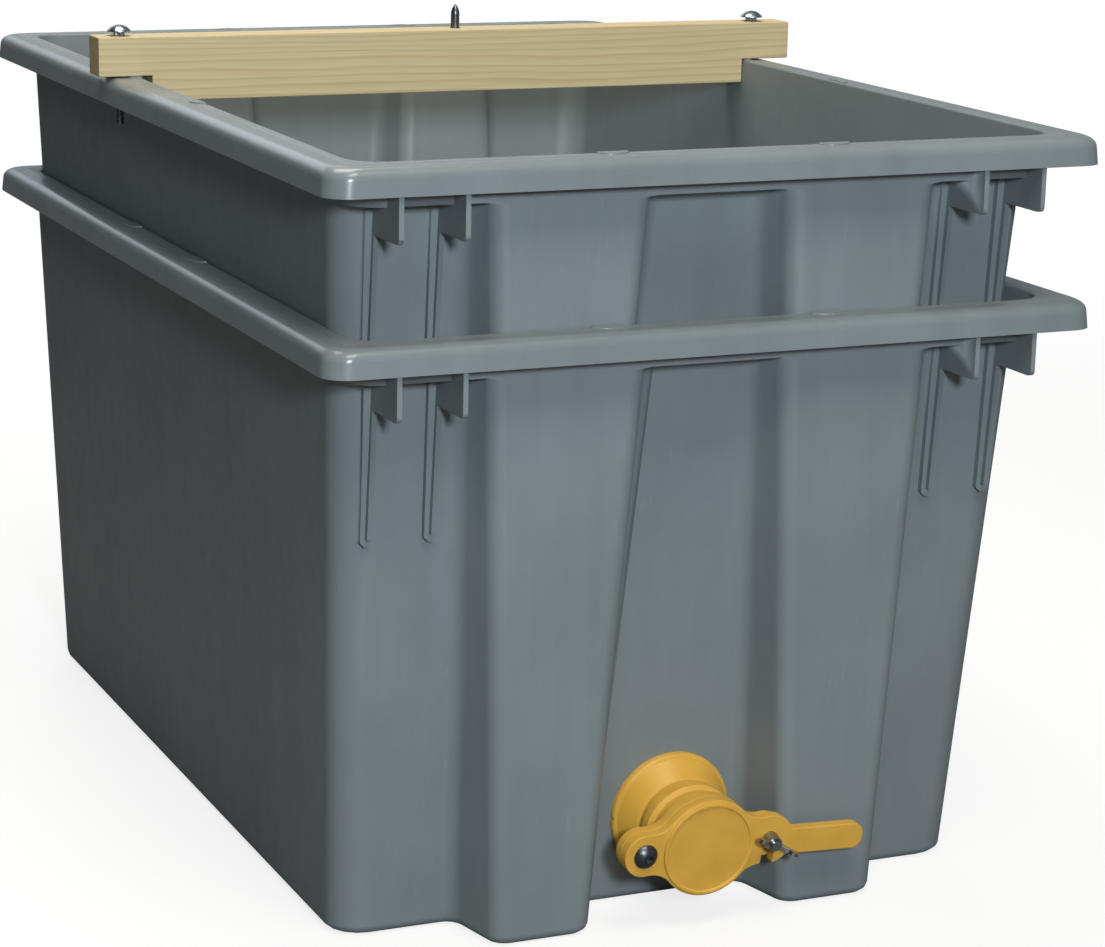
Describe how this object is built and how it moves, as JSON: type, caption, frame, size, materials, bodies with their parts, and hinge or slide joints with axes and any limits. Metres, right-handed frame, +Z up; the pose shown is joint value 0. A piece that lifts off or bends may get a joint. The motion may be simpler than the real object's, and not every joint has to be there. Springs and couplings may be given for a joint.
{
  "type": "uncapping tank",
  "caption": "Uncapping tank: a drained strainer tub with a spiked crossbar nests in a honey tub that has a swinging gate near its floor.",
  "frame": {"origin": "on the floor, under the middle of the rim", "axes": "+X to the right across the gate end, +Y along the tubs away from the gate end, +Z up"},
  "size_m": [0.416, 0.597, 0.4222],
  "materials": {
    "tub_plastic": "moulded grey polyethylene, fine satin",
    "gate_plastic": "moulded honey-yellow nylon, semi-gloss",
    "gasket_rubber": "black food-grade rubber",
    "dark_steel": "blackened stainless steel",
    "zinc_steel": "bright zinc-plated steel",
    "pine": "planed pale pine, bare",
    "spike_steel": "plain steel, ground to a point"
  },
  "bodies": {
    "tank": {"lower_tub": "tub_plastic", "gate_body": "gate_plastic", "gate_gasket": "gasket_rubber", "gate_lock_nut": "gate_plastic", "pivot_screw": "dark_steel", "pivot_nut": "zinc_steel", "clamp_bolt": "zinc_steel"},
    "strainer": {"strainer_tub": "tub_plastic", "crossbar": "pine", "frame_spike": "spike_steel", "carriage_bolts": "zinc_steel", "bolt_washers": "zinc_steel", "bolt_nuts": "zinc_steel"},
    "flap": {"gate_flap": "gate_plastic"},
    "wing": {"wing_nut": "zinc_steel"}
  },
  "joints": [
    {"name": "strainer_lift", "type": "slide", "parent": "tank", "child": "strainer", "axis": [0, 0, 1], "range_m": [0, 0.45]},
    {"name": "flap_swing", "type": "hinge", "parent": "tank", "child": "flap", "pos_m": [-0.0305, -0.28107, 0.04256], "axis": [0, -0.9958, -0.0915], "range_deg": [0, 95]},
    {"name": "wing_turn", "type": "hinge", "parent": "tank", "child": "wing", "pos_m": [0.0375, -0.28804, 0.04192], "axis": [0, -0.9958, -0.0915], "continuous": true}
  ]
}
